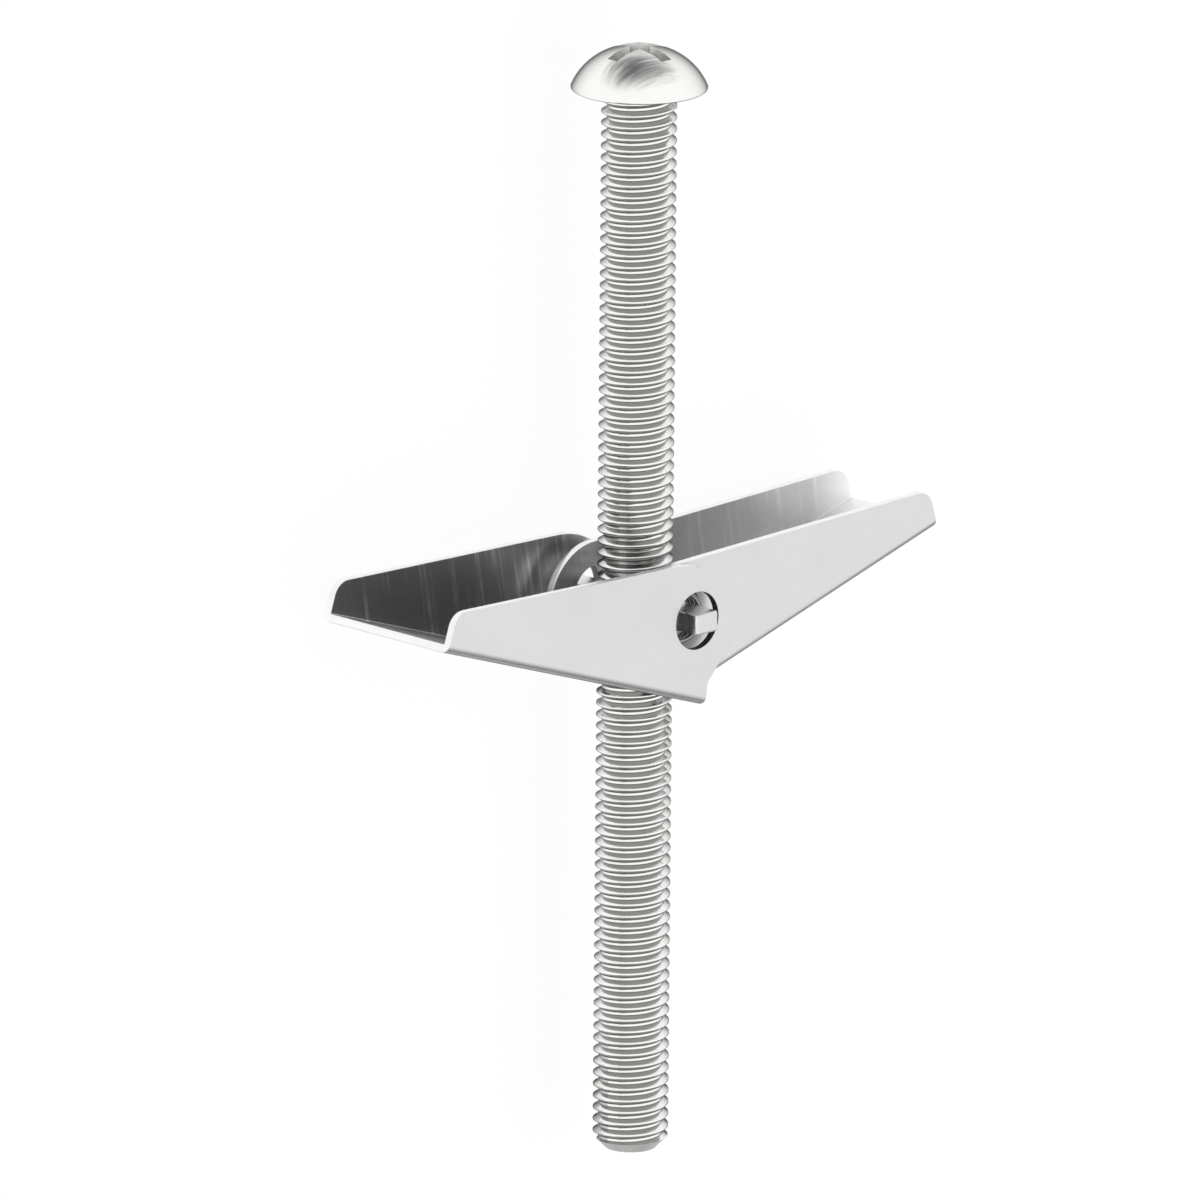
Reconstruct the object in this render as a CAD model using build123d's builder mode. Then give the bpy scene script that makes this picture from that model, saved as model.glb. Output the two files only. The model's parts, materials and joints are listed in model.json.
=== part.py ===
"""Spring-wing toggle bolt for a hollow wall, lying on its side with the hinge pegs upright.

The screw lies along Y with its head at +Y. The wings open along X, the outer one to -X and the
inner one to +X. The nut's two pegs stand along Z, and the lower one touches the ground at Z = 0.
"""

import os
from math import cos, hypot, radians, sin, sqrt

from build123d import *

# Screw, in millimetres as everything here
thread_diameter = 6.3
shank_length = 90.7
end_chamfer = 1.05
head_diameter = 11.4
head_height = 3.65
head_land = 0.25  # upright band at the head's rim
crown_radius = 8.5  # the flatter top of the dome
crown_angle = 12.0  # half angle of that top, where the rounder shoulder begins

# Cross recess in the head
recess_span = 7.95  # tip to tip, at the height of the crown
recess_width = 1.25
recess_depth = 2.3
recess_floor_span = 2.6
recess_floor_width = 0.8

# Sheet of the wings
sheet = 0.7
bend_radius = 0.1  # inside the fold

# Trunnion nut
hinge_to_head = 44.1  # from the pegs' axis to the head's underside
bore_clearance = 0.05
collar_wall = 0.75
collar_drop = 3.2  # from the pegs' axis to the collar's lower rim
nut_length = 8.6  # across the screw, square to the pegs
nut_corner = 0.9
peg_width = 2.5
peg_thickness = 1.75
peg_shoulder = 0.03  # the nut's body stands out past its collar by this
peg_stand_out = 1.2  # past the outer wing
peg_chamfer = 0.15

# Torsion spring
wire_diameter = 0.42
wire_sides = 12  # of the wire's section, which stands in for a round one
coil_turns = 3
coil_play = 0.26  # between the peg's corners and the coil
hole_play = 0.24  # between the coil and the wings' hinge holes
leg_play = 0.03  # between a leg's end and the web it presses on
side_play = 0.125  # beside the wire, between the nut and the inner wing
leg_gap = 0.25  # between the inner wing's flange and the wire of the outer leg
leg_drift = 0.32  # the inner leg leans this much towards the screw, off the fold

# Wings, shared sizes
tip_corner = 1.6
notch_clearance = 0.6  # round the thread, where the webs are cut open
flange_gap = 1.35  # between the nested flanges

# Inner wing
inner_reach = 30.1  # from the screw's axis to the wing's tip
inner_slope = 17.0  # of its web, in degrees
inner_top = 4.51  # its flanges' edge above the pegs' axis
inner_top_slope = 2.1
inner_ear_margin = 2.8  # metal round the hinge hole
inner_web_clearance = 0.85  # between its web and the turning nut
ear_shoulder = (-0.7, 0.68)  # shares of the ear's radius and of the edge's height that its curve meets

# Outer wing
outer_reach = 28.9
outer_slope = 18.13
outer_top = 5.02
outer_top_slope = 1.2
outer_ear_margin = 1.75
outer_web_clearance = 0.81  # between its web and the inner wing's ears
stop_play = 0.05  # between the webs' ends where the open wings stop
stop_overlap = 0.1

# The lobe round the outer wing's hinge hole: shares of its reach and of the edge's height
lobe_top_end = -0.09
lobe_upper_side = 0.5
lobe_lower_side = -0.48
lobe_top_corner = 8.0  # radii of its corners
lobe_side_corner = 3.0
heel_lean = 0.15  # the heel under the lobe leans out by this
heel_height = 1.9
heel_corner = 1.0

# Radii and half widths that follow
thread_radius = thread_diameter / 2
wire_radius = wire_diameter / 2
bore_radius = thread_radius + bore_clearance
collar_radius = bore_radius + collar_wall
notch_radius = thread_radius + notch_clearance
coil_radius = hypot(peg_width, peg_thickness) / 2 + coil_play + wire_radius
hinge_hole_radius = coil_radius + wire_radius + hole_play
nut_half = collar_radius + peg_shoulder
inner_inside = nut_half + wire_diameter + 2 * side_play
inner_outside = inner_inside + sheet
outer_inside = inner_outside + flange_gap
outer_outside = outer_inside + sheet
peg_half = outer_outside + peg_stand_out

# Distances from the pegs' axis to the webs' outer faces and to the ears' rounded edge
inner_ear_radius = hinge_hole_radius + inner_ear_margin
inner_web = hypot(collar_radius, collar_drop) + inner_web_clearance + sheet
outer_web = inner_ear_radius + outer_web_clearance + sheet

# Places, with the origin under the middle of the whole
axis_x = (outer_reach - inner_reach) / 2
axis_z = peg_half
under_head_y = (shank_length - head_height) / 2
hinge_y = under_head_y - hinge_to_head
hinge = (axis_x, hinge_y, axis_z)
side_plane = Plane(origin=hinge, x_dir=(1, 0, 0), z_dir=(0, 0, 1))
cross_plane = Plane(origin=hinge, x_dir=(1, 0, 0), z_dir=(0, 1, 0))

INNER, OUTER = 1, -1  # which way a wing points along X


def web_point(side, slope, distance, x):
    """The point at x on a web face that is the given distance from the pegs' axis."""
    return (x, (side * x * sin(radians(slope)) - distance) / cos(radians(slope)))


def square_up(point, side, slope, height):
    """The point that lies a height away from a web's point, square to the web and inwards."""
    return (
        point[0] - side * height * sin(radians(slope)),
        point[1] + height * cos(radians(slope)),
    )


def tip_top(side, slope, foot, top, top_slope):
    """Where a wing's end, cut square to its web from the foot, meets the flange's top edge."""
    rise = sin(radians(top_slope)) / cos(radians(top_slope))
    height = (top + side * foot[0] * rise - foot[1]) / (cos(radians(slope)) + sin(radians(slope)) * rise)
    return square_up(foot, side, slope, height)


def webs_meet(inner_distance, outer_distance):
    """Where a face of the inner web crosses a face of the outer web, near the screw's axis."""
    inner_angle, outer_angle = radians(inner_slope), radians(outer_slope)
    x = (inner_distance * cos(outer_angle) - outer_distance * cos(inner_angle)) / sin(
        inner_angle + outer_angle
    )
    return web_point(INNER, inner_slope, inner_distance, x)


def web_plane(side, slope, distance):
    """The plane square to a web, its origin on the outer face nearest the pegs, y pointing inwards."""
    foot = (side * distance * sin(radians(slope)), -distance * cos(radians(slope)))
    along = (side * cos(radians(slope)), sin(radians(slope)), 0)
    return Plane(origin=side_plane.from_local_coords((*foot, 0)), x_dir=(0, 0, -side), z_dir=along)


def channel_section(outside, inside):
    """The folded sheet's section in the active sketch: a U that is open towards +Y."""
    tall = 2 * inner_reach
    with Locations((0, tall / 2)):
        RectangleRounded(2 * outside, tall, bend_radius + sheet)
    with Locations((0, tall / 2 + sheet)):
        RectangleRounded(2 * inside, tall, bend_radius, mode=Mode.SUBTRACT)


def nearest(corners, point):
    """The sketch's corner at a point."""
    return corners.sort_by_distance(Vector(*point))[0]


# Screw: round head and shank turned about the Y axis, then the cross recess
head_plane = Plane(origin=(axis_x, under_head_y, axis_z), x_dir=(1, 0, 0), z_dir=(0, 0, 1))
head_radius = head_diameter / 2
end_radius = thread_radius - end_chamfer
with BuildPart() as screw:
    with BuildSketch(head_plane):
        with BuildLine():
            crown = JernArc((0, head_height), (1, 0), crown_radius, -crown_angle)
            shoulder = TangentArc(crown @ 1, (head_radius, head_land), tangent=crown % 1)
            Polyline(
                shoulder @ 1,
                (head_radius, 0),
                (thread_radius, 0),
                (thread_radius, end_chamfer - shank_length),
                (end_radius, -shank_length),
                (0, -shank_length),
                (0, head_height),
            )
        make_face()
    revolve(axis=Axis(head_plane.origin, (0, 1, 0)))
    recess_mouth = Plane(
        origin=(axis_x, under_head_y + head_height, axis_z), x_dir=(1, 0, 0), z_dir=(0, 1, 0)
    )
    with BuildSketch(recess_mouth):
        Rectangle(recess_span, recess_width)
        Rectangle(recess_width, recess_span)
    with BuildSketch(recess_mouth.offset(-recess_depth)):
        Rectangle(recess_floor_span, recess_floor_width)
        Rectangle(recess_floor_width, recess_floor_span)
    loft(mode=Mode.SUBTRACT)
screw.part.label = "screw"


# Trunnion nut: a flat strip with two square-cut pegs, pierced and drawn to a collar
with BuildPart() as trunnion_nut:
    with BuildSketch(cross_plane):
        RectangleRounded(nut_length, 2 * nut_half, nut_corner)
        Rectangle(peg_width, 2 * peg_half)
    extrude(amount=peg_thickness / 2, both=True)
    peg_ends = trunnion_nut.faces().sort_by(Axis.Z)
    chamfer(peg_ends[0].edges() + peg_ends[-1].edges(), peg_chamfer)
    with BuildSketch(cross_plane):
        Circle(collar_radius)
    extrude(amount=-collar_drop)
    with BuildSketch(cross_plane):
        Circle(bore_radius)
    extrude(amount=collar_drop, both=True, mode=Mode.SUBTRACT)
trunnion_nut.part.label = "trunnion_nut"


# Torsion spring: three turns round the upper peg, one leg pressing on each wing's web
coil_start = nut_half + side_play + wire_radius
coil_end = inner_outside + leg_gap + wire_radius
press_depth = sheet + leg_play + wire_radius
inner_leg = (inner_web - press_depth - coil_radius * cos(radians(inner_slope))) / sin(
    radians(inner_slope)
)
outer_leg = (outer_web - press_depth - coil_radius * cos(radians(outer_slope))) / sin(
    radians(outer_slope)
)
coil_centre = side_plane.from_local_coords((0, 0, coil_start))
with BuildPart() as torsion_spring:
    turns = Helix(
        pitch=(coil_end - coil_start) / coil_turns,
        height=coil_end - coil_start,
        radius=coil_radius,
        center=coil_centre,
        lefthand=True,
        mode=Mode.PRIVATE,
    ).rotate(Axis(coil_centre, (0, 0, 1)), -90)
    with BuildLine() as wire_path:
        Line(turns @ 0 + Vector(inner_leg, 0, -leg_drift), turns @ 0)
        add(turns)
        Line(turns @ 1, turns @ 1 - Vector(outer_leg, 0, 0))
    with BuildSketch(Plane(origin=wire_path.wire() @ 0, z_dir=wire_path.wire() % 0)):
        RegularPolygon(wire_radius, wire_sides)
    sweep(path=wire_path.wire(), is_frenet=True)
torsion_spring.part.label = "torsion_spring"


# Inner wing: a channel whose flanges nest inside the other wing's
inner_foot = web_point(INNER, inner_slope, inner_web, inner_reach)
inner_tip = tip_top(INNER, inner_slope, inner_foot, inner_top, inner_top_slope)
inner_stop = webs_meet(inner_web, outer_web - sheet - stop_play)
inner_stop_top = square_up(inner_stop, INNER, inner_slope, sheet)
diagonal = inner_ear_radius * sqrt(0.5)
with BuildPart() as inner_wing:
    with BuildSketch(web_plane(INNER, inner_slope, inner_web)):
        channel_section(inner_outside, inner_inside)
    extrude(amount=2 * inner_reach, both=True)
    with BuildSketch(side_plane) as inner_side:
        with BuildLine():
            Polyline(
                (0, inner_top),
                inner_tip,
                inner_foot,
                inner_stop,
                inner_stop_top,
                (0, -inner_ear_radius),
            )
            ThreePointArc((0, -inner_ear_radius), (-diagonal, -diagonal), (-inner_ear_radius, 0))
            ThreePointArc(
                (-inner_ear_radius, 0),
                (ear_shoulder[0] * inner_ear_radius, ear_shoulder[1] * inner_top),
                (0, inner_top),
            )
        make_face()
        fillet(nearest(inner_side.vertices(), inner_tip), tip_corner)
    extrude(amount=2 * outer_outside, both=True, mode=Mode.INTERSECT)
    with BuildSketch(side_plane):
        Circle(hinge_hole_radius)
    extrude(amount=2 * outer_outside, both=True, mode=Mode.SUBTRACT)
    with BuildSketch(cross_plane):
        Circle(notch_radius)
        with Locations((-notch_radius, 0)):
            Rectangle(2 * notch_radius, 2 * notch_radius)
    extrude(amount=-2 * inner_web, mode=Mode.SUBTRACT)
inner_wing.part.label = "inner_wing"


# Outer wing: the wider channel, with rounded lobes round its hinge holes
lobe_x = hinge_hole_radius + outer_ear_margin
outer_foot = web_point(OUTER, outer_slope, outer_web, -outer_reach)
outer_tip = tip_top(OUTER, outer_slope, outer_foot, outer_top, outer_top_slope)
outer_end = web_point(OUTER, outer_slope, outer_web, inner_stop[0] + stop_overlap)
lobe_corners = {
    (lobe_top_end * lobe_x, outer_top): lobe_top_corner,
    (lobe_x, lobe_upper_side * outer_top): lobe_side_corner,
    (lobe_x, lobe_lower_side * outer_top): lobe_side_corner,
    (outer_end[0] + heel_lean, outer_end[1] + heel_height): heel_corner,
}
with BuildPart() as outer_wing:
    with BuildSketch(web_plane(OUTER, outer_slope, outer_web)):
        channel_section(outer_outside, outer_inside)
    extrude(amount=2 * inner_reach, both=True)
    with BuildSketch(side_plane) as outer_side:
        with BuildLine():
            Polyline(outer_tip, *lobe_corners, outer_end, outer_foot, close=True)
        make_face()
        fillet(nearest(outer_side.vertices(), outer_tip), tip_corner)
        for corner, radius in lobe_corners.items():
            fillet(nearest(outer_side.vertices(), corner), radius)
    extrude(amount=2 * outer_outside, both=True, mode=Mode.INTERSECT)
    with BuildSketch(side_plane):
        Circle(hinge_hole_radius)
    extrude(amount=2 * outer_outside, both=True, mode=Mode.SUBTRACT)
    with BuildSketch(cross_plane):
        Circle(notch_radius)
        with Locations((notch_radius, 0)):
            Rectangle(2 * notch_radius, 2 * notch_radius)
    extrude(amount=-2 * outer_web, mode=Mode.SUBTRACT)
outer_wing.part.label = "outer_wing"


os.makedirs("parts", exist_ok=True)
for piece in (screw, trunnion_nut, torsion_spring, inner_wing, outer_wing):
    export_step(piece.part, f"parts/{piece.part.label}.step")
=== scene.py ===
"""Spring-wing toggle bolt: the looks of its pieces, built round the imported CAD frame."""

import json
from math import atan2, cos, pi, radians, sin, sqrt, tan

import bpy
from bpy.props import FloatProperty, FloatVectorProperty, IntProperty, PointerProperty
from mathutils import Matrix, Vector


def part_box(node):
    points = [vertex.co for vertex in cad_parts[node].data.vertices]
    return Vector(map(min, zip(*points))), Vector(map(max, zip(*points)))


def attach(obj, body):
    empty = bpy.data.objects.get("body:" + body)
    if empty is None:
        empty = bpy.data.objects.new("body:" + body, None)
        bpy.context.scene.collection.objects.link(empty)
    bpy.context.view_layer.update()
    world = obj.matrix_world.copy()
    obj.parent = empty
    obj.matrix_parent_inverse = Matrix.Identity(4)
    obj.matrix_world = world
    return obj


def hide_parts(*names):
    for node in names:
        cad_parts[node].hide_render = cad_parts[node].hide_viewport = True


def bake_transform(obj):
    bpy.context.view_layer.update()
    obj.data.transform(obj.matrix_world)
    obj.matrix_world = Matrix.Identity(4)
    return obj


bl_info = {
    "name": "Spring-wing toggle bolt",
    "version": (1, 0, 0),
    "blender": (4, 5, 0),
    "location": "View3D > Sidebar > Anchor",
    "description": "Builds the visible pieces of a spring-wing toggle bolt and its studio",
    "category": "Object",
}

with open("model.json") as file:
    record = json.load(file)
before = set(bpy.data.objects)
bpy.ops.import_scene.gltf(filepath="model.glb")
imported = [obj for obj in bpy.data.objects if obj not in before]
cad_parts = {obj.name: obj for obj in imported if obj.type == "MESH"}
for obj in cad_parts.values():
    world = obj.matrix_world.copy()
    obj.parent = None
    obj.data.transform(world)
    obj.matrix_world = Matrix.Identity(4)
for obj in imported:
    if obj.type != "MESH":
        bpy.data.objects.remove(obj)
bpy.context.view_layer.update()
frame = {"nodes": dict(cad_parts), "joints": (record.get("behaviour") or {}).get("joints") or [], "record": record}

# Places that the frame gives, in metres
joints = {joint["name"]: joint for joint in frame["joints"]}
mounts = {mount["name"]: mount for mount in frame["record"]["mounts"]}
HINGE = Vector(joints["inner_wing_fold"]["pos_m"])
UNDER_HEAD_Y = mounts["head_underside"]["pos_m"][1]
SCREW_LOW, SCREW_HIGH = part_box("screw")
SPRING_LOW, SPRING_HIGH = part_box("torsion_spring")

# One millimetre in metres
MM = 0.001

# How far a flank of the thread leans from square to the axis
THREAD_FLANK = radians(30)

# How far the faces beside an edge turn before it is rounded, and before its shading is crisp
SHARP_EDGE = radians(35)
CRISP_EDGE = radians(32)

# Slots of the finishes, those of the screw and those of a wing; painted shade fills the screw's second and third
# slots and a wing's inside and hole walls, a painted highlight its cut edges
BRIGHT, PAINTED_SHADE, DEEP_PAINTED_SHADE = range(3)
OUTSIDE, INSIDE, CUT_EDGE, HOLE_WALL = range(4)


def length(name, description, millimetres):
    """A size that a user may change, stored in metres."""
    return FloatProperty(
        name=name,
        description=description,
        default=millimetres * MM,
        subtype="DISTANCE",
        unit="LENGTH",
        precision=6,
    )


def angle(name, description, in_degrees):
    """An angle that a user may change."""
    return FloatProperty(name=name, description=description, default=radians(in_degrees), subtype="ANGLE")


def share(name, description, value):
    """A share from 0 to 1 that a user may change."""
    return FloatProperty(
        name=name, description=description, default=value, min=0, max=1, subtype="FACTOR"
    )


def number(name, description, value):
    """A plain number that a user may change."""
    return FloatProperty(name=name, description=description, default=value, min=0)


def colour(name, description, value):
    """A linear colour that a user may change."""
    return FloatVectorProperty(
        name=name, description=description, default=value, min=0, max=1, size=3, subtype="COLOR"
    )


class ScrewSizes(bpy.types.PropertyGroup):
    """Sizes of the machine screw."""

    thread_diameter: length("Thread diameter", "Over the crests", 6.3)
    thread_depth: length("Thread depth", "From crest to root, square to the axis", 0.48)
    thread_pitch: length("Pitch", "From crest to crest along the axis", 0.993)
    thread_turn: length("Thread start", "How far under the head the first root passes +X", 0.78)
    crest_flat: length("Crest", "Width of the flat on a crest", 0.17)
    thread_round: length("Thread rounding", "Rounding of the crests and roots", 0.045)
    end_chamfer: length("End chamfer", "At the screw's free end", 1.05)
    head_height: length("Head height", "From its underside to the top of the dome", 3.65)
    head_land: length("Rim", "Height of the upright band at the head's rim", 0.25)
    crown_radius: length("Crown radius", "Radius of the flatter top of the dome", 8.5)
    crown_angle: angle("Crown angle", "Half angle of the flatter top", 12.0)
    rim_round: length("Rim rounding", "Radius of the rim's lower edge", 0.15)
    head_round: length("Edge rounding", "Round the recess and under the head", 0.07)
    recess_span: length("Recess span", "Tip to tip at the top of the dome", 7.95)
    recess_width: length("Recess width", "Width of a slot at the top", 1.25)
    recess_depth: length("Recess depth", "From the top of the dome", 2.3)
    recess_floor_span: length("Recess floor span", "Tip to tip at the floor", 2.6)
    recess_floor_width: length("Recess floor width", "Width of a slot at the floor", 0.8)
    # Painted highlight in the recess, fullest within the core and gone past the reach
    highlight_core: length("Rubbed core", "The driver rubs the recess brightest within this radius", 0.8)
    highlight_reach: length("Rubbed reach", "The driver rubs nothing past this radius", 2.2)
    turn_steps: IntProperty(name="Steps a turn", description="Facets round the thread", default=48)


class SpringSizes(bpy.types.PropertyGroup):
    """Sizes of the torsion spring."""

    wire_diameter: length("Wire", "Diameter of the spring wire", 0.42)
    coil_diameter: length("Coil", "Mean diameter of the coil", 3.992)
    coil_turns: IntProperty(name="Turns", description="Turns of wire from leg to leg", default=3)
    leg_drift: length("Leg drift", "How far the inner leg's end leans off the coil's plane", 0.32)
    turn_points: IntProperty(name="Points a turn", description="Points along each turn", default=48)


class SheetSizes(bpy.types.PropertyGroup):
    """Sizes of the pressed pieces."""

    sheet: length("Sheet", "Thickness of the wings", 0.7)
    bend_radius: length("Bend", "Radius inside the fold", 0.1)
    sheet_round: length("Sheet edges", "Rounding of the wings' cut edges", 0.07)
    nut_round: length("Nut edges", "Rounding of the nut's edges", 0.1)
    hole_reach: length("Hole reach", "Everything round a hinge hole is nearer the hinge than this", 8.2)
    hole_radius: length("Hole radius", "A little more than the radius of a hinge hole", 2.6)
    inner_slope: angle("Inner slope", "How far the inner wing's web climbs", 17.0)
    outer_slope: angle("Outer slope", "How far the outer wing's web climbs", 18.13)
    # Painted light brightens the inner wing's inside between these two places
    tip_light_start: length("Tip's start", "Across from the origin to where the inner wing's tip brightens", 23)
    tip_light_end: length("Tip's end", "Across from the origin to where it is fully bright", 30)


class Finishes(bpy.types.PropertyGroup):
    """Colours of the plated steel, with its painted shade and painted highlights, and how it is marked."""

    screw_zinc: colour("Screw", "Bright zinc on the screw", (0.98, 0.98, 0.965))
    # Painted shade in the recess, on the free end and under the head
    recess_zinc: colour("Recess", "Dull zinc in the recess, on the end, under the head", (0.6, 0.6, 0.585))
    # Deeper painted shade on the lower flanks, in the roots' corners and under the rim
    flank_zinc: colour("Lower flanks", "Dark zinc on flanks that no nut rubs", (0.28, 0.28, 0.27))
    wing_zinc: colour("Wings outside", "Satin zinc on the wings", (0.75, 0.75, 0.75))
    # Painted shade inside the wings' channels, deeper in the outer wing than in the inner one
    outer_inside_shade: colour("Outer wing inside", "Dull zinc inside the outer wing", (0.43, 0.43, 0.43))
    inner_inside_shade: colour("Inner wing inside", "Paler zinc inside the inner wing", (0.65, 0.65, 0.65))
    # Painted light at the inner wing's tip
    inner_tip_light: colour("Inner wing's tip", "Bright zinc at the inner wing's tip", (0.94, 0.94, 0.94))
    # Painted highlight on the sheared edges
    cut_edge_highlight: colour("Cut edges", "Sheared edges of the sheet", (0.95, 0.95, 0.95))
    # Painted shade on the walls of the hinge holes
    hole_wall: colour("Hole walls", "Torn, dark walls of the punched hinge holes", (0.12, 0.12, 0.12))
    nut_zinc: colour("Nut", "Zinc on the trunnion nut", (0.74, 0.74, 0.73))
    spring_steel: colour("Spring", "Drawn steel wire", (0.42, 0.42, 0.43))
    edge_tint: share("Edge tint", "How much of its light the metal keeps where it turns away", 0.15)
    # Strength of the painted highlight in the recess's middle
    rubbed: share("Rubbed recess", "How bright a driver has rubbed the recess's middle", 0.8)
    # Brightness of the painted highlight along edges
    edge_highlight: number("Worn edges", "Brightness of a worn edge over the plating beside it", 1.12)
    inner_marks: number("Inner wing's marks", "Brightness of the drawing marks over their sheet", 1.15)
    outer_marks: number("Outer wing's marks", "Brightness of the drawing marks over their sheet", 1.75)


class StudioSizes(bpy.types.PropertyGroup):
    """The camera and the room round the bolt."""

    camera_azimuth: angle("Azimuth", "The camera's bearing round the bolt, 0 looking along +Y", 249.34)
    camera_elevation: angle("Elevation", "The camera's height above the floor", 43.47)
    camera_roll: angle("Roll", "How far the screw leans right in the picture", 0.49)
    camera_distance: length("Distance", "From the camera to the hinge", 4000)
    frame_width: length("Frame", "Width of the picture at the hinge", 99.5)
    frame_right: length("Frame to the right", "Picture's middle from the hinge", -2.89)
    frame_up: length("Frame up", "Picture's middle from the hinge", 0.33)
    floor_size: length("Floor", "Side of the floor", 8000)
    floor_tone: share("Floor's tone", "Grey of the matt floor under the shadow", 0.92)
    floor_lift: share("Floor lift", "How far the seen floor is lifted to white", 0.95)
    stray_light: share("Stray light", "Strength of the room's light where it isn't seen", 0.7)
    card_start: length("Card's start", "Where the floor's grey begins beyond the head end", 55)
    card_distance: length("Card's distance", "Where the upright grey card stands", 600)
    card_half_width: length("Card's half width", "Half the width of the upright card", 1800)
    card_height: length("Card's height", "Height of the upright card", 420)
    card_lift: length("Card's lift", "Height of a lying card over the floor", 0.1)
    band_middle: FloatVectorProperty(
        name="Band's middle",
        description="Its place aside and above over its distance",
        size=2,
        default=(0.0, -0.13),
    )
    band_tilt: angle("Band's tilt", "How far the oval band leans", 25)
    band_rise: share("Band's rise", "Half height of the grey band over its distance", 0.85)
    band_reach: number("Band's reach", "Half width of the band over its distance", 1.3)
    band_grey: share("Band's grey", "The darkest light of the band", 0.14)
    band_streaks: number("Band's streaks", "How strongly streaks break the band up", 1.6)
    sky_height: length("Sky card's height", "Height of the upright card beyond the free end", 900)
    sky_rise: number("Sky's rise", "Half height of the grey beyond the free end over its distance", 1.5)
    sky_reach: number("Sky's reach", "Half width of the grey beyond the free end over its distance", 4)
    sky_streaks: number("Sky's streaks", "How strongly streaks break that grey up", 0.3)
    horizon_grey: share("Horizon's grey", "The darkest light above the horizon beyond the free end", 0.2)
    free_end_grey: share("Free end's grey", "Light of the card that lies beyond the free end", 0.65)
    end_card_left: length("End card's left", "Its left edge across from the origin", -12)
    end_card_right: length("End card's right", "Its right edge across from the origin", 200)
    end_card_far: length("End card's far edge", "Along the screw from the origin", -300)
    end_card_near: length("End card's near edge", "Along the screw from the origin", -40)
    lamp_place: FloatVectorProperty(
        name="Lamp's place",
        description="Its place in the room",
        default=(0.1, -0.1, 0.7),
        subtype="TRANSLATION",
        unit="LENGTH",
    )
    lamp_size: length("Lamp's size", "Side of the soft square lamp", 600)
    lamp_watts: number("Lamp", "Power of the soft lamp in watts", 3)


def settings(group):
    """One of the add-on's groups of settings."""
    return getattr(bpy.context.scene, group)


def select_only(piece):
    """Selects this object and nothing else, and makes it the active one."""
    bpy.ops.object.select_all(action="DESELECT")
    piece.select_set(True)
    bpy.context.view_layer.objects.active = piece


def new_object(name, contents):
    """An object in the scene that holds a mesh, a line, a lamp or a camera."""
    piece = bpy.data.objects.new(name, contents)
    bpy.context.collection.objects.link(piece)
    return piece


def edit_all():
    """Enters edit mode with the whole mesh selected."""
    bpy.ops.object.mode_set(mode="EDIT")
    bpy.ops.mesh.select_all(action="SELECT")


def begin_outline(name, start):
    """A new object in edit mode, with one vertex at the start of an outline."""
    bpy.ops.object.select_all(action="DESELECT")
    bpy.ops.mesh.primitive_plane_add(size=MM)
    piece = bpy.context.object
    piece.name = name
    bpy.ops.object.mode_set(mode="EDIT")
    bpy.ops.mesh.select_mode(type="VERT")
    bpy.ops.mesh.select_all(action="SELECT")
    bpy.ops.mesh.merge(type="CENTER")
    bpy.ops.transform.translate(value=start)
    return piece


def draw_to(*steps):
    """Extrudes the outline's last vertex by each step in turn."""
    for step in steps:
        bpy.ops.mesh.extrude_region_move(TRANSFORM_OT_translate={"value": step})


def turn_round_y(steps):
    """Turns the outline in edit mode into a closed shell round the world's Y axis."""
    bpy.ops.mesh.select_all(action="SELECT")
    bpy.ops.mesh.spin(steps=steps, angle=2 * pi, center=(0, 0, 0), axis=(0, 1, 0))
    bpy.ops.mesh.select_all(action="SELECT")
    bpy.ops.mesh.remove_doubles(threshold=0.002 * MM)
    bpy.ops.mesh.normals_make_consistent(inside=False)
    bpy.ops.object.mode_set(mode="OBJECT")


def apply_modifier(piece, kind, **values):
    """Adds a modifier, sets it and applies it."""
    select_only(piece)
    modifier = piece.modifiers.new(kind.title(), kind)
    for name, value in values.items():
        setattr(modifier, name, value)
    bpy.ops.object.modifier_apply(modifier=modifier.name)


def combine(piece, other, operation):
    """Cuts, joins or trims a piece by another one, which is used up."""
    apply_modifier(piece, "BOOLEAN", operation=operation, object=other, solver="EXACT")
    bpy.data.objects.remove(other)


def round_edges(piece, width):
    """Rounds a piece's sharp edges."""
    apply_modifier(piece, "BEVEL", width=width, segments=2, limit_method="ANGLE", angle_limit=SHARP_EDGE)


def smooth(piece, limit=CRISP_EDGE):
    """Smooth shading that keeps flat faces flat, and edges sharper than the limit crisp."""
    select_only(piece)
    bpy.ops.object.shade_smooth_by_angle(angle=limit)
    apply_modifier(piece, "WEIGHTED_NORMAL", keep_sharp=True)


def select_where(piece, chosen):
    """Selects the vertices whose place is chosen, and leaves the piece in edit mode."""
    bpy.ops.object.mode_set(mode="EDIT")
    bpy.ops.mesh.select_mode(type="VERT")
    bpy.ops.mesh.select_all(action="DESELECT")
    bpy.ops.object.mode_set(mode="OBJECT")
    for vertex in piece.data.vertices:
        vertex.select = chosen(vertex.co)
    bpy.ops.object.mode_set(mode="EDIT")


def merged_copy(node, name):
    """A piece with a CAD node's mesh, its loose triangles merged and its flat faces whole."""
    piece = new_object(name, frame["nodes"][node].data.copy())
    piece.data.materials.clear()
    select_only(piece)
    edit_all()
    bpy.ops.mesh.remove_doubles(threshold=0.001 * MM)
    bpy.ops.mesh.dissolve_limited(angle_limit=radians(0.5))
    bpy.ops.object.mode_set(mode="OBJECT")
    return piece


def carry(piece, body, slot, *nodes):
    """Puts a finished piece on its body, in place of the CAD nodes that it stands for."""
    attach(piece, body)
    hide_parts(*nodes)


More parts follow.
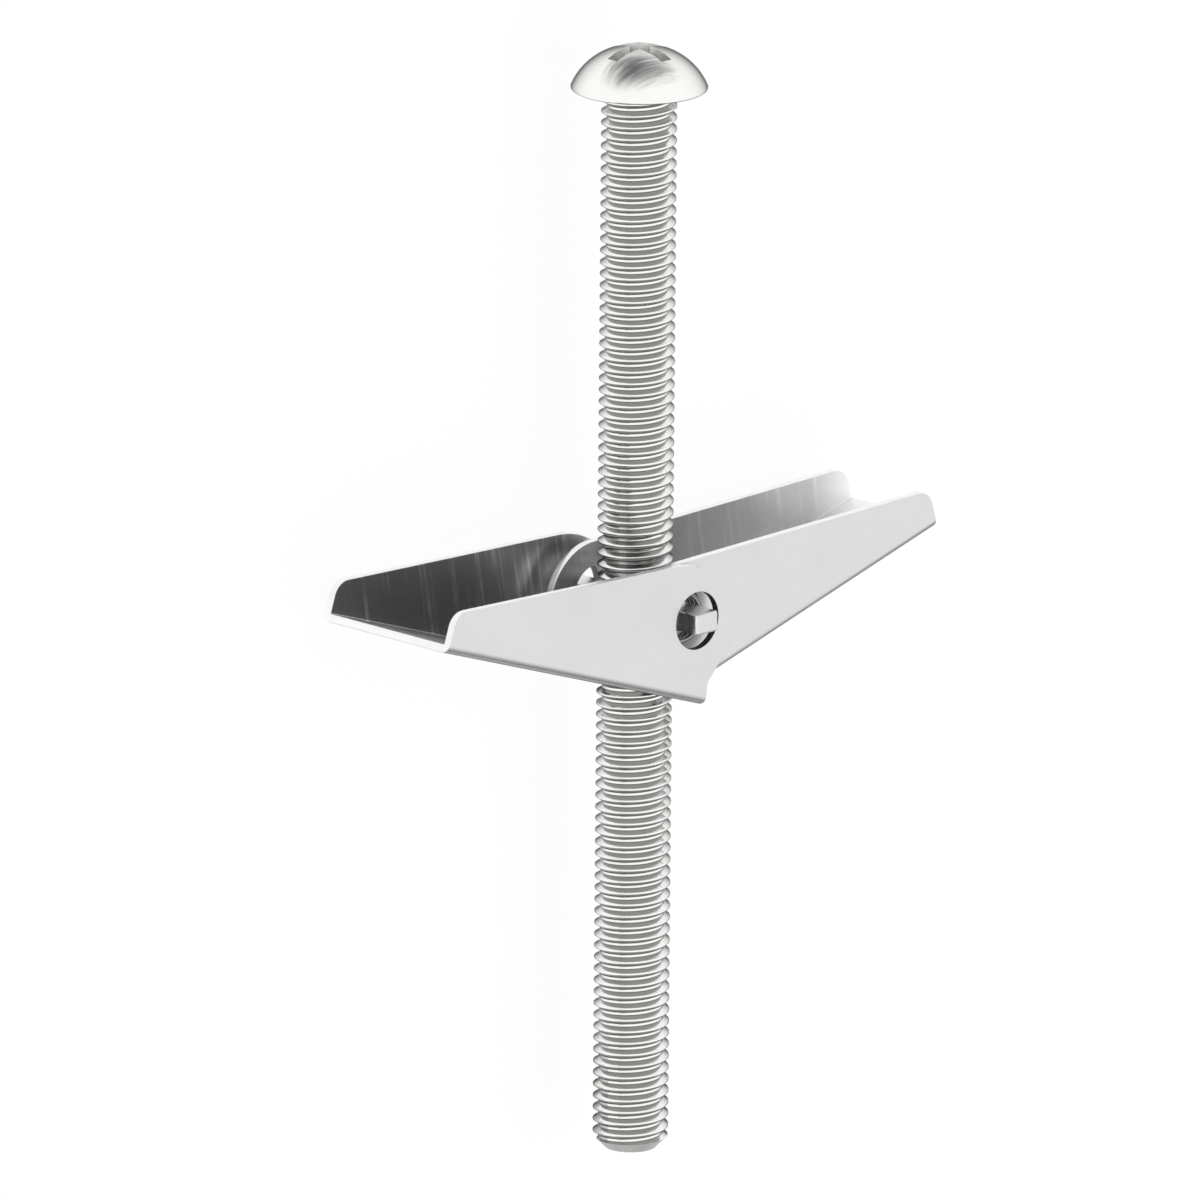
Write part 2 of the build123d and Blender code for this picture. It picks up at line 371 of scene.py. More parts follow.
def make_thread(sizes):
    """The threaded shank as a closed rod round the world's Y axis."""
    root = sizes.thread_diameter / 2 - sizes.thread_depth
    flank = sizes.thread_depth * tan(THREAD_FLANK)
    root_flat = sizes.thread_pitch - sizes.crest_flat - 2 * flank
    inside_head = sizes.head_height / 3
    top = UNDER_HEAD_Y + inside_head
    spare_turns = 2
    turns_below = int((UNDER_HEAD_Y - SCREW_LOW.y) / sizes.thread_pitch) + spare_turns
    first = UNDER_HEAD_Y - sizes.thread_turn - turns_below * sizes.thread_pitch
    turns = int((top - first) / sizes.thread_pitch) + spare_turns
    rod = begin_outline("screw_thread", (root, first, 0))
    draw_to(
        (0, root_flat / 2, 0),
        (sizes.thread_depth, flank, 0),
        (0, sizes.crest_flat, 0),
        (-sizes.thread_depth, flank, 0),
        (0, root_flat / 2, 0),
    )
    last = first + sizes.thread_pitch
    near = 0.001 * MM
    select_where(rod, lambda place: first + near < place.y < last - near)
    bpy.ops.mesh.bevel(offset=sizes.thread_round, segments=2, affect="VERTICES")
    bpy.ops.object.mode_set(mode="OBJECT")
    apply_modifier(
        rod,
        "SCREW",
        axis="Y",
        angle=2 * pi,
        screw_offset=sizes.thread_pitch,
        iterations=turns,
        steps=sizes.turn_steps,
        render_steps=sizes.turn_steps,
    )
    edit_all()
    bpy.ops.mesh.remove_doubles(threshold=0.002 * MM)
    for end, outwards in ((SCREW_LOW.y, -1), (top, 1)):
        bpy.ops.mesh.select_all(action="SELECT")
        bpy.ops.mesh.bisect(
            plane_co=(0, end, 0),
            plane_no=(0, outwards, 0),
            clear_outer=True,
            threshold=0.0001 * MM,
        )
        bpy.ops.mesh.edge_face_add()
    bpy.ops.mesh.select_all(action="SELECT")
    bpy.ops.mesh.normals_make_consistent(inside=False)
    bpy.ops.object.mode_set(mode="OBJECT")
    return rod


def make_chamfer_cutter(sizes):
    """A ring round the shank's end, whose cone cuts the chamfer."""
    end_radius = sizes.thread_diameter / 2 - sizes.end_chamfer
    over = 0.5 * MM
    ring = begin_outline("chamfer_cutter", (end_radius - over, SCREW_LOW.y - over, 0))
    reach = sizes.end_chamfer + 2 * over
    draw_to((reach, reach, 0), (over, 0, 0), (0, -reach, 0), (-reach - over, 0, 0))
    turn_round_y(steps=96)
    return ring


def make_head(sizes):
    """The round head, closed, with its underside at the height that the frame gives."""
    radius = sizes.thread_diameter / 2
    head_radius = (SCREW_HIGH.x - SCREW_LOW.x) / 2
    crown_edge = sizes.crown_radius * sin(sizes.crown_angle)
    crown_drop = sizes.crown_radius * (1 - cos(sizes.crown_angle))
    top = UNDER_HEAD_Y + sizes.head_height
    head = begin_outline("screw_head", (0, top, 0))
    crown_centre = (0, top - sizes.crown_radius, 0)
    bpy.ops.mesh.spin(steps=8, angle=sizes.crown_angle, center=crown_centre, axis=(0, 0, 1))
    across = head_radius - crown_edge
    down = sizes.head_height - crown_drop - sizes.head_land
    chord = sqrt(across**2 + down**2)
    bend = atan2(down, across) - sizes.crown_angle
    shoulder_radius = chord / 2 / sin(bend)
    shoulder_centre = (
        crown_edge - shoulder_radius * sin(sizes.crown_angle),
        top - crown_drop - shoulder_radius * cos(sizes.crown_angle),
        0,
    )
    bpy.ops.mesh.spin(steps=20, angle=2 * bend, center=shoulder_centre, axis=(0, 0, 1))
    draw_to((0, sizes.rim_round - sizes.head_land, 0))
    rim_centre = (head_radius - sizes.rim_round, UNDER_HEAD_Y + sizes.rim_round, 0)
    bpy.ops.mesh.spin(steps=4, angle=pi / 2, center=rim_centre, axis=(0, 0, 1))
    draw_to((radius - head_radius + sizes.rim_round, 0, 0), (-radius, 0, 0))
    turn_round_y(steps=128)
    return head


def make_recess_arm(sizes, turned):
    """A tapered wedge that cuts one slot of the cross recess."""
    top = UNDER_HEAD_Y + sizes.head_height
    bpy.ops.object.select_all(action="DESELECT")
    bpy.ops.mesh.primitive_cube_add(size=sizes.recess_depth)
    arm = bpy.context.object
    arm.name = "recess_arm"
    edit_all()
    bpy.ops.transform.translate(value=(0, top - sizes.recess_depth / 2, 0))
    ends = (
        (top, sizes.recess_span, sizes.recess_width),
        (top - sizes.recess_depth, sizes.recess_floor_span, sizes.recess_floor_width),
    )
    near = 0.1 * MM
    for height, span, width in ends:
        select_where(arm, lambda place: abs(place.y - height) < near)
        stretch = (span / sizes.recess_depth, 1, width / sizes.recess_depth)
        bpy.ops.transform.resize(value=(stretch[2], 1, stretch[0]) if turned else stretch)
    bpy.ops.object.mode_set(mode="OBJECT")
    return arm


def screw_side(face, sizes):
    """Which finish a face of the screw has.

    Painted shade lies on the recess, the head's underside, the chamfer and the free end. A deeper painted shade
    lies on the flanks that face the free end, the corners of the roots and the rounding under the rim.
    """
    place, steepness = face.center, face.normal.y
    away = sqrt(place.x**2 + place.z**2)
    facing_down, leaning_down, leaning_up, half_up = -0.98, -0.2, 0.15, 0.5
    near, outer_radius = 0.05 * MM, sizes.thread_diameter / 2

    # The free end and its chamfer, a cone that widens as fast as it rises, in painted shade
    rise = place.y - SCREW_LOW.y
    off_cone = abs(away - (outer_radius - sizes.end_chamfer) - rise)
    on_chamfer = rise < sizes.end_chamfer and off_cone < 0.03 * MM
    if on_chamfer or rise < 0.01 * MM:
        return PAINTED_SHADE

    # The head's underside in painted shade, and the rounding of its rim in deeper painted shade
    if away > outer_radius:
        if abs(place.y - UNDER_HEAD_Y) < near and steepness < facing_down:
            return PAINTED_SHADE
        if place.y < UNDER_HEAD_Y + sizes.rim_round and steepness < leaning_down:
            return DEEP_PAINTED_SHADE

    # The thread, with deeper painted shade on the flanks that face the free end and in the roots' corners
    if place.y < UNDER_HEAD_Y - near:
        corner = outer_radius - sizes.thread_depth + sizes.thread_round / 2
        in_corner = steepness > leaning_up and away < corner
        return DEEP_PAINTED_SHADE if in_corner or steepness < leaning_down else BRIGHT

    # The recess, with painted shade on its walls and its floor
    recess_floor = UNDER_HEAD_Y + sizes.head_height - sizes.recess_depth
    in_recess = away < sizes.recess_span / 2 and place.y > recess_floor - 2 * near
    wall_or_floor = steepness < half_up or place.y < recess_floor + 4 * near
    return PAINTED_SHADE if in_recess and wall_or_floor else BRIGHT


class ANCHOR_OT_screw(bpy.types.Operator):
    """Forms the screw's head, cuts its recess and joins it to the threaded shank"""

    bl_idname = "anchor.make_screw"
    bl_label = "Make the screw"

    def execute(self, context):
        """Builds the screw."""
        sizes = settings("screw_sizes")
        screw = make_head(sizes)
        for turned in (False, True):
            combine(screw, make_recess_arm(sizes, turned), "DIFFERENCE")
        round_edges(screw, sizes.head_round)
        rod = make_thread(sizes)
        combine(rod, make_chamfer_cutter(sizes), "DIFFERENCE")
        combine(screw, rod, "UNION")
        screw.name = "machine_screw"
        for finish in (screw_material(), recess_shade_material(), flank_shade_material()):
            screw.data.materials.append(finish)
        for face in screw.data.polygons:
            face.material_index = screw_side(face, sizes)
        select_only(screw)
        edit_all()
        bpy.ops.transform.translate(value=(HINGE.x, 0, HINGE.z))
        bpy.ops.object.mode_set(mode="OBJECT")
        smooth(screw)
        carry(screw, "screw", "screw_zinc", "screw")
        return {"FINISHED"}


class ANCHOR_OT_nut(bpy.types.Operator):
    """Rounds the trunnion nut's edges"""

    bl_idname = "anchor.make_nut"
    bl_label = "Make the trunnion nut"

    def execute(self, context):
        """Builds the nut."""
        nut = merged_copy("trunnion_nut", "pressed_nut")
        round_edges(nut, settings("sheet_sizes").nut_round)
        smooth(nut)
        nut.data.materials.append(nut_material())
        carry(nut, "nut", "nut_zinc", "trunnion_nut")
        return {"FINISHED"}


def make_wire(name, points, wire_diameter):
    """A round wire with closed ends along a line of points, as a mesh."""
    line = bpy.data.curves.new(name, "CURVE")
    line.dimensions = "3D"
    line.bevel_depth = wire_diameter / 2
    line.bevel_resolution = 3
    line.use_fill_caps = True
    spline = line.splines.new("POLY")
    spline.points.add(len(points) - 1)
    for point, place in zip(spline.points, points):
        point.co = (*place, 1)
    select_only(new_object(name, line))
    bpy.ops.object.convert(target="MESH")
    edit_all()
    bpy.ops.mesh.remove_doubles(threshold=0.001 * MM)
    bpy.ops.mesh.normals_make_consistent(inside=False)
    bpy.ops.object.mode_set(mode="OBJECT")
    return bpy.context.object


class ANCHOR_OT_spring(bpy.types.Operator):
    """Winds the torsion spring in two halves, each with its leg"""

    bl_idname = "anchor.make_spring"
    bl_label = "Make the torsion spring"

    def execute(self, context):
        """Builds both halves, which bend from the nut to their wings."""
        sizes = settings("spring_sizes")
        half_wire = sizes.wire_diameter / 2
        low, high = SPRING_LOW.z + half_wire + sizes.leg_drift, SPRING_HIGH.z - half_wire
        middle = (low + high) / 2
        radius = sizes.coil_diameter / 2
        steps = int(sizes.coil_turns * sizes.turn_points / 2)
        foot = HINGE.y - radius
        halves = (
            ("inner_wing", low, (SPRING_HIGH.x, foot, low - sizes.leg_drift), 1),
            ("outer_wing", high, (SPRING_LOW.x, foot, high), -1),
        )
        for wing, start, leg_end, way in halves:
            points = [leg_end]
            for step in range(steps + 1):
                turned = -pi / 2 - way * 2 * pi * step / sizes.turn_points
                rise = start + (middle - start) * step / steps
                points.append((HINGE.x + radius * cos(turned), HINGE.y + radius * sin(turned), rise))
            half = make_wire(f"spring_{wing}_leg", points, sizes.wire_diameter)
            smooth(half, limit=radians(50))
            half.data.materials.append(spring_material())
            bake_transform(half)
            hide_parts("torsion_spring")
        return {"FINISHED"}


def sheet_side(face, way, slope, sizes, outside):
    """Which finish a face of a wing has, on its outside, its inside, a cut edge or a punched hole's wall."""
    place = face.center - HINGE
    along = Vector((way * cos(slope), sin(slope), 0))
    outwards = Vector((way * sin(slope), -cos(slope), 0))
    upright = abs(face.normal.z) > 0.5
    inside = outside - sizes.sheet - sizes.bend_radius
    square_cut = abs(face.normal.dot(along)) > 0.05
    notch_wall = upright and abs(place.z) < inside
    hole_wall = not upright and abs(place.z) > inside and place.length < sizes.hole_reach
    # Hole walls near the hinge get painted shade
    if hole_wall and place.xy.length < sizes.hole_radius:
        return HOLE_WALL
    if square_cut or notch_wall or hole_wall:
        return CUT_EDGE
    faces_out = face.normal.z * place.z if upright else face.normal.dot(outwards)
    return OUTSIDE if faces_out > 0 else INSIDE


class ANCHOR_OT_wings(bpy.types.Operator):
    """Rounds the wings' cut edges and gives their sides their finishes"""

    bl_idname = "anchor.make_wings"
    bl_label = "Make the wings"

    def execute(self, context):
        """Builds both wings."""
        sizes = settings("sheet_sizes")
        tones = settings("finishes")
        outside, cut_edge_highlight, hole_wall = outside_material(), cut_edge_highlight_material(), hole_shade_material()
        wings = (
            ("inner_wing", 1, sizes.inner_slope, tones.inner_inside_shade, tones.inner_tip_light, tones.inner_marks),
            ("outer_wing", -1, sizes.outer_slope, tones.outer_inside_shade, tones.outer_inside_shade, tones.outer_marks),
        )
        for wing, way, slope, tone, tip_light_tone, marked in wings:
            # Painted shade inside each wing's channel, with painted light towards the inner wing's tip
            inside = inside_shade_material(f"{wing}_inside_painted_shade", tone, tip_light_tone, marked)
            piece = merged_copy(wing, f"folded_{wing}")
            low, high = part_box(wing)
            for finish in (outside, inside, cut_edge_highlight, hole_wall):
                piece.data.materials.append(finish)
            for face in piece.data.polygons:
                face.material_index = sheet_side(face, way, slope, sizes, (high.z - low.z) / 2)
            round_edges(piece, sizes.sheet_round)
            smooth(piece)
            carry(piece, wing, "wing_zinc", wing)
        return {"FINISHED"}


def new_group(name, inputs, outputs):
    """An empty shader node group with these sockets, each a name, a kind and, going in, its default."""
    group = bpy.data.node_groups.new(name, "ShaderNodeTree")
    for title, kind, default in inputs:
        socket = group.interface.new_socket(name=title, in_out="INPUT", socket_type=f"NodeSocket{kind}")
        if default is not None:
            socket.default_value = default
    for title, kind in outputs:
        group.interface.new_socket(name=title, in_out="OUTPUT", socket_type=f"NodeSocket{kind}")
    return group, group.nodes.new("NodeGroupInput"), group.nodes.new("NodeGroupOutput")


def add_node(tree, kind, **values):
    """A shader node of a kind, with its settings by name."""
    node = tree.nodes.new(f"ShaderNode{kind}")
    for name, value in values.items():
        setattr(node, name, value)
    return node


def feed(tree, socket, value):
    """Links an output to a socket, or sets the socket to a value."""
    if isinstance(value, bpy.types.NodeSocket):
        tree.links.new(value, socket)
    else:
        socket.default_value = value


def add_math(tree, operation, first, second):
    """A Math node on two values or outputs, and its result."""
    node = add_node(tree, "Math", operation=operation)
    feed(tree, node.inputs[0], first)
    feed(tree, node.inputs[1], second)
    return node.outputs[0]


def add_noise(tree, place, scale, detail=3.0, roughness=0.5):
    """A noise of some scale at a place, from 0 to 1."""
    node = add_node(tree, "TexNoise")
    values = (("Vector", place), ("Scale", scale), ("Detail", detail), ("Roughness", roughness))
    for name, value in values:
        feed(tree, node.inputs[name], value)
    return node.outputs["Fac"]


def add_range(tree, value, low, high, to_low=0.0, to_high=1.0):
    """A value's range from low to high spread over another range, smoothly and clamped."""
    node = add_node(tree, "MapRange", interpolation_type="SMOOTHSTEP")
    feed(tree, node.inputs["Value"], value)
    bounds = (("From Min", low), ("From Max", high), ("To Min", to_low), ("To Max", to_high))
    for name, bound in bounds:
        feed(tree, node.inputs[name], bound)
    return node.outputs["Result"]


def add_mix(tree, factor, first, second):
    """A mix of two colours, each an output or a colour of three channels."""
    node = add_node(tree, "Mix", data_type="RGBA")
    factor_in, first_in, second_in, mixed = node.inputs[0], node.inputs[6], node.inputs[7], node.outputs[2]
    feed(tree, factor_in, factor)
    for socket, value in ((first_in, first), (second_in, second)):
        feed(tree, socket, value if isinstance(value, bpy.types.NodeSocket) else (*value, 1))
    return mixed


def add_mapping(tree, vector, kind="POINT", **values):
    """A vector that a Mapping node moves, turns and scales by its Location, Rotation and Scale."""
    node = add_node(tree, "Mapping", vector_type=kind)
    tree.links.new(vector, node.inputs["Vector"])
    for name, value in values.items():
        node.inputs[name].default_value = value
    return node.outputs["Vector"]


def add_parts(tree, vector):
    """The X, Y and Z of a vector, by name."""
    node = add_node(tree, "SeparateXYZ")
    tree.links.new(vector, node.inputs["Vector"])
    return node.outputs


def add_length(tree, vector):
    """The length of a vector."""
    node = add_node(tree, "VectorMath", operation="LENGTH")
    tree.links.new(vector, node.inputs[0])
    return node.outputs["Value"]


def plating_group():
    """Zinc plating: cloudy patches and a fine grain, from a place in millimetres."""
    if "Plating" in bpy.data.node_groups:
        return bpy.data.node_groups["Plating"]
    inputs = (
        ("Place", "Vector", None),
        ("Bright", "Color", None),
        ("Dull", "Color", None),
        ("Roughness", "Float", 0.25),
        ("Unevenness", "Float", 0.08),
        ("Patch", "Float", 3.0),
        ("Grain", "Float", 0.12),
    )
    outputs = (("Color", "Color"), ("Roughness", "Float"), ("Height", "Float"))
    group, given, made = new_group("Plating", inputs, outputs)
    place = given.outputs["Place"]
    patch_scale = add_math(group, "DIVIDE", 1.0, given.outputs["Patch"])
    grain_scale = add_math(group, "DIVIDE", 1.0, given.outputs["Grain"])
    patches = add_noise(group, place, patch_scale, detail=4.0, roughness=0.6)
    grain = add_noise(group, place, grain_scale, detail=2.0)
    cloud_part, speckle_part = 0.7, 0.3
    cloud = add_math(group, "MULTIPLY", add_range(group, patches, 0.3, 0.7), cloud_part)
    speckle = add_math(group, "MULTIPLY", add_range(group, grain, 0.3, 0.7), speckle_part)
    blend = add_math(group, "ADD", cloud, speckle)
    tint = add_mix(group, blend, given.outputs["Dull"], given.outputs["Bright"])
    group.links.new(tint, made.inputs["Color"])
    lean = add_math(group, "SUBTRACT", 0.5, blend)
    uneven = add_math(group, "MULTIPLY", given.outputs["Unevenness"], lean)
    group.links.new(add_math(group, "ADD", given.outputs["Roughness"], uneven), made.inputs["Roughness"])
    group.links.new(grain, made.inputs["Height"])
    return group


def marks_group():
    """Drawing marks: light streaks nearly along Y on a pressed sheet, from a place in millimetres."""
    if "Drawing marks" in bpy.data.node_groups:
        return bpy.data.node_groups["Drawing marks"]
    inputs = (
        ("Place", "Vector", None),
        ("Lean", "Float", 0.19),
        ("Spacing", "Float", 0.65),
        ("Run", "Float", 14.0),
        ("Depth", "Float", 5.0),
    )
    group, given, made = new_group("Drawing marks", inputs, (("Mask", "Float"), ("Height", "Float")))
    parts = add_parts(group, given.outputs["Place"])
    leaned = add_math(group, "MULTIPLY", parts["Y"], given.outputs["Lean"])
    across = add_math(group, "ADD", parts["X"], leaned)
    stretched = add_node(group, "CombineXYZ")
    axes = (("X", across, "Spacing"), ("Y", parts["Y"], "Run"), ("Z", parts["Z"], "Depth"))
    for axis, value, size in axes:
        group.links.new(add_math(group, "DIVIDE", value, given.outputs[size]), stretched.inputs[axis])
    streaks = add_noise(group, stretched.outputs[0], 1.0, detail=4.0, roughness=0.6)
    gaps = add_noise(group, given.outputs["Place"], 0.3, detail=2.0)
    broken = add_range(group, gaps, 0.35, 0.6, to_low=0.25)
    lines = add_range(group, streaks, 0.5, 0.7)
    group.links.new(add_math(group, "MULTIPLY", lines, broken), made.inputs["Mask"])
    group.links.new(streaks, made.inputs["Height"])
    return group


def edge_highlight_group():
    """Painted edge highlight: a mask that is 1 where an edge stands out, to brighten it."""
    if "Edge wear" in bpy.data.node_groups:
        return bpy.data.node_groups["Edge wear"]
    inputs = (("Place", "Vector", None), ("Start", "Float", 0.52), ("End", "Float", 0.62))
    group, given, made = new_group("Edge wear", inputs, (("Mask", "Float"),))
    shape = add_node(group, "NewGeometry")
    edge = add_range(group, shape.outputs["Pointiness"], given.outputs["Start"], given.outputs["End"])
    patchy = add_range(group, add_noise(group, given.outputs["Place"], 2.0), 0.3, 0.6, to_low=0.5)
    group.links.new(add_math(group, "MULTIPLY", edge, patchy), made.inputs["Mask"])
    return group


def use_group(tree, group, place, **values):
    """Places a node group in a material, fed with a place and with its own values."""
    node = tree.nodes.new("ShaderNodeGroup")
    node.node_tree = group
    tree.links.new(place, node.inputs["Place"])
    for name, value in values.items():
        node.inputs[name.replace("_", " ")].default_value = value
    return node


def new_metal(name, edge_tint=1.0):
    """A metal: its material, its tree, its shader and the piece's own coordinates in millimetres."""
    material = bpy.data.materials.new(name)
    material.use_nodes = True
    tree = material.node_tree
    shader = tree.nodes["Principled BSDF"]
    shader.inputs["Metallic"].default_value = 1
    shader.inputs["Specular Tint"].default_value = (edge_tint, edge_tint, edge_tint, 1)
    coordinates = add_node(tree, "TexCoord")
    place = add_mapping(tree, coordinates.outputs["Object"], Scale=(1 / MM, 1 / MM, 1 / MM))
    return material, tree, shader, place


def add_bump(tree, shader, height, depth):
    """Raises a shader's surface by a height from 0 to 1, to a depth in millimetres."""
    bump = add_node(tree, "Bump")
    bump.inputs["Distance"].default_value = depth * MM
    tree.links.new(height, bump.inputs["Height"])
    tree.links.new(bump.outputs["Normal"], shader.inputs["Normal"])


def shaded(tone, by, most=1.0):
    """A colour made darker or lighter by a factor, up to a limit."""
    return [min(most, channel * by) for channel in tone]


def plated_metal(name, tone, roughness, patch=3.0, dull=0.95, worn=True, edge_tint=1.0, depth=0.002):
    """Plated steel with its clouds and grain, and a painted highlight along its edges where it has one."""
    material, tree, shader, place = new_metal(name, edge_tint)
    plating = use_group(
        tree,
        plating_group(),
        place,
        Bright=(*tone, 1),
        Dull=(*shaded(tone, dull), 1),
        Roughness=roughness,
        Patch=patch,
    )
    surface = plating.outputs["Color"]
    # Painted highlight along the edges that stand out
    if worn:
        edge_light = use_group(tree, edge_highlight_group(), place)
        rubbed = shaded(tone, settings("finishes").edge_highlight)
        surface = add_mix(tree, edge_light.outputs["Mask"], surface, rubbed)
    tree.links.new(surface, shader.inputs["Base Color"])
    tree.links.new(plating.outputs["Roughness"], shader.inputs["Roughness"])
    add_bump(tree, shader, plating.outputs["Height"], depth)
    return material


def screw_material():
    """Bright zinc on the rolled thread and the round head."""
    finishes = settings("finishes")
    return plated_metal(
        "screw_zinc",
        finishes.screw_zinc,
        roughness=0.13,
        edge_tint=finishes.edge_tint,
        depth=0.001,
    )


def recess_shade_material():
    """Painted shade in the recess, under the head and on the free end, with a painted highlight in the recess's
    middle.
    """
    finishes, sizes = settings("finishes"), settings("screw_sizes")
    material = plated_metal("recess_zinc", finishes.recess_zinc, roughness=0.25)
    tree = material.node_tree
    colour_in = tree.nodes["Principled BSDF"].inputs["Base Color"]
    plated = colour_in.links[0].from_socket
    place = tree.nodes["Mapping"].outputs["Vector"]
    # Painted highlight in the recess's middle, strongest near the screw's axis and only within the head
    from_axis = add_mapping(tree, place, Location=(-HINGE.x / MM, 0, -HINGE.z / MM), Scale=(1, 0, 1))
    core, reach = sizes.highlight_core / MM, sizes.highlight_reach / MM
    near = add_range(tree, add_length(tree, from_axis), core, reach, to_low=finishes.rubbed, to_high=0.0)
    in_head = add_math(tree, "GREATER_THAN", add_parts(tree, place)["Y"], 0.0)
    rubbed = add_math(tree, "MULTIPLY", near, in_head)
    tree.links.new(add_mix(tree, rubbed, plated, finishes.screw_zinc), colour_in)
    return material


def flank_shade_material():
    """Deeper painted shade on the flanks that face the free end, in the roots' corners and under the head's rim.
    """
    return plated_metal("flank_zinc", settings("finishes").flank_zinc, roughness=0.25)


def nut_material():
    """Zinc on the pressed nut."""
    return plated_metal("nut_zinc", settings("finishes").nut_zinc, roughness=0.28)


def spring_material():
    """Drawn steel wire."""
    return plated_metal("spring_steel", settings("finishes").spring_steel, roughness=0.25)


def outside_material():
    """Satin zinc on the wings' outer faces."""
    finishes = settings("finishes")
    return plated_metal(
        "wing_zinc",
        finishes.wing_zinc,
        roughness=0.3,
        patch=6.0,
        dull=0.98,
        worn=False,
        edge_tint=finishes.edge_tint,
        depth=0.0007,
    )


def cut_edge_highlight_material():
    """Painted highlight on the sheared edges of the sheet."""
    return plated_metal("cut_edge_zinc", settings("finishes").cut_edge_highlight, roughness=0.3, patch=1.0)


def hole_shade_material():
    """Painted shade on the walls of the punched hinge holes."""
    return plated_metal("hole_wall_zinc", settings("finishes").hole_wall, roughness=0.4, patch=0.5, dull=0.7)


def inside_shade_material(name, tone, tip_light_tone, marked):
    """Painted shade with drawing marks inside a wing's channel, and painted light brightening the tip towards +X.
    """
    sizes = settings("sheet_sizes")
    material, tree, shader, place = new_metal(name)
    plating = use_group(
        tree,
        plating_group(),
        place,
        Bright=(*tone, 1),
        Dull=(*shaded(tone, 0.85), 1),
        Roughness=0.34,
        Patch=6.0,
    )
    marks = use_group(tree, marks_group(), place)
    light = shaded(tone, marked, most=0.94)
    streaked = add_mix(tree, marks.outputs["Mask"], plating.outputs["Color"], light)
    # Painted light: the inner wing's inside brightens towards its tip
    tip_light_mask = add_range(tree, add_parts(tree, place)["X"], sizes.tip_light_start / MM, sizes.tip_light_end / MM)
    tree.links.new(add_mix(tree, tip_light_mask, streaked, tip_light_tone), shader.inputs["Base Color"])
    tree.links.new(plating.outputs["Roughness"], shader.inputs["Roughness"])
    add_bump(tree, shader, marks.outputs["Height"], depth=0.004)
    return material


def add_area_light(name, place, size, watts):
    """A soft square lamp that faces the hinge, and that neither camera nor metal sees."""
    lamp = bpy.data.lights.new(name, "AREA")
    lamp.shape = "SQUARE"
    lamp.size = size
    lamp.energy = watts
    holder = new_object(name, lamp)
    holder.location = place
    holder.rotation_euler = (HINGE - Vector(place)).to_track_quat("-Z", "Y").to_euler()
    holder.visible_camera = False
    holder.visible_glossy = False


def add_flag(name, corners, finish):
    """A four-cornered card that only the metal sees, as the grey cards beside a photographer's table."""
    bpy.ops.object.select_all(action="DESELECT")
    bpy.ops.mesh.primitive_plane_add(size=1)
    card = bpy.context.object
    card.name = name
    for vertex, corner in zip(card.data.vertices, corners):
        vertex.co = corner
    card.data.materials.append(finish)
    for way in ("camera", "diffuse", "shadow", "transmission"):
        setattr(card, f"visible_{way}", False)


def seen_paths(tree):
    """A value that is 1 for what the camera, the metal or glass sees, and 0 for stray light."""
    path = add_node(tree, "LightPath")
    metal_or_glass = add_math(
        tree, "MAXIMUM", path.outputs["Is Glossy Ray"], path.outputs["Is Transmission Ray"]
    )
    return add_math(tree, "MAXIMUM", path.outputs["Is Camera Ray"], metal_or_glass)


def card_material(name, grey):
    """A plain grey card that gives its own light."""
    material = bpy.data.materials.new(name)
    material.use_nodes = True
    tree = material.node_tree
    glow = add_node(tree, "Emission")
    glow.inputs["Color"].default_value = (grey, grey, grey, 1)
    tree.links.new(glow.outputs[0], tree.nodes["Material Output"].inputs["Surface"])
    return material


def band_material(name, origin_y, middle, tilt, reach, rise, darkest, streaked):
    """A soft grey oval with streaks, on the sky and floor beyond one end of the bolt.

    It is drawn on two slopes, how far a place lies aside and above for each step ahead of the bolt's end, so
    that it looks the same on a lying and on an upright card.
    """
    material = card_material(name, 1)
    tree = material.node_tree
    parts = add_parts(tree, add_node(tree, "TexCoord").outputs["Object"])
    ahead = add_math(tree, "SUBTRACT", parts["Y"], origin_y)
    above = add_math(tree, "SUBTRACT", parts["Z"], HINGE.z)
    slopes = add_node(tree, "CombineXYZ")
    tree.links.new(add_math(tree, "DIVIDE", parts["X"], ahead), slopes.inputs["X"])
    tree.links.new(add_math(tree, "DIVIDE", above, ahead), slopes.inputs["Y"])
    seen = slopes.outputs["Vector"]
    oval = add_mapping(
        tree, seen, "TEXTURE", Location=(*middle, 0), Rotation=(0, 0, tilt), Scale=(reach, rise, 1)
    )
    streak_fineness = 18
    stretched = add_mapping(tree, seen, Scale=(1, streak_fineness, 1))
    streaks = add_math(tree, "SUBTRACT", add_noise(tree, stretched, 1.0), 0.5)
    uneven = add_math(tree, "ADD", add_length(tree, oval), add_math(tree, "MULTIPLY", streaks, streaked))
    grey = add_range(tree, uneven, 0.0, 1.0, to_low=darkest)
    tree.links.new(grey, tree.nodes["Emission"].inputs["Color"])
    return material


def floor_material():
    """A pale matt floor, lifted towards white where it is seen, that keeps the bolt's shadow."""
    sizes = settings("studio_sizes")
    material = bpy.data.materials.new("studio_floor")
    material.use_nodes = True
    tree = material.node_tree
    matt = tree.nodes["Principled BSDF"]
    matt.inputs["Base Color"].default_value = (sizes.floor_tone, sizes.floor_tone, sizes.floor_tone, 1)
    matt.inputs["Roughness"].default_value = 1
    matt.inputs["Specular IOR Level"].default_value = 0
    glow = add_node(tree, "Emission")
    blend = add_node(tree, "MixShader")
    lifted = add_math(tree, "MULTIPLY", seen_paths(tree), sizes.floor_lift)
    tree.links.new(lifted, blend.inputs[0])
    tree.links.new(matt.outputs[0], blend.inputs[1])
    tree.links.new(glow.outputs[0], blend.inputs[2])
    tree.links.new(blend.outputs[0], tree.nodes["Material Output"].inputs["Surface"])
    return material


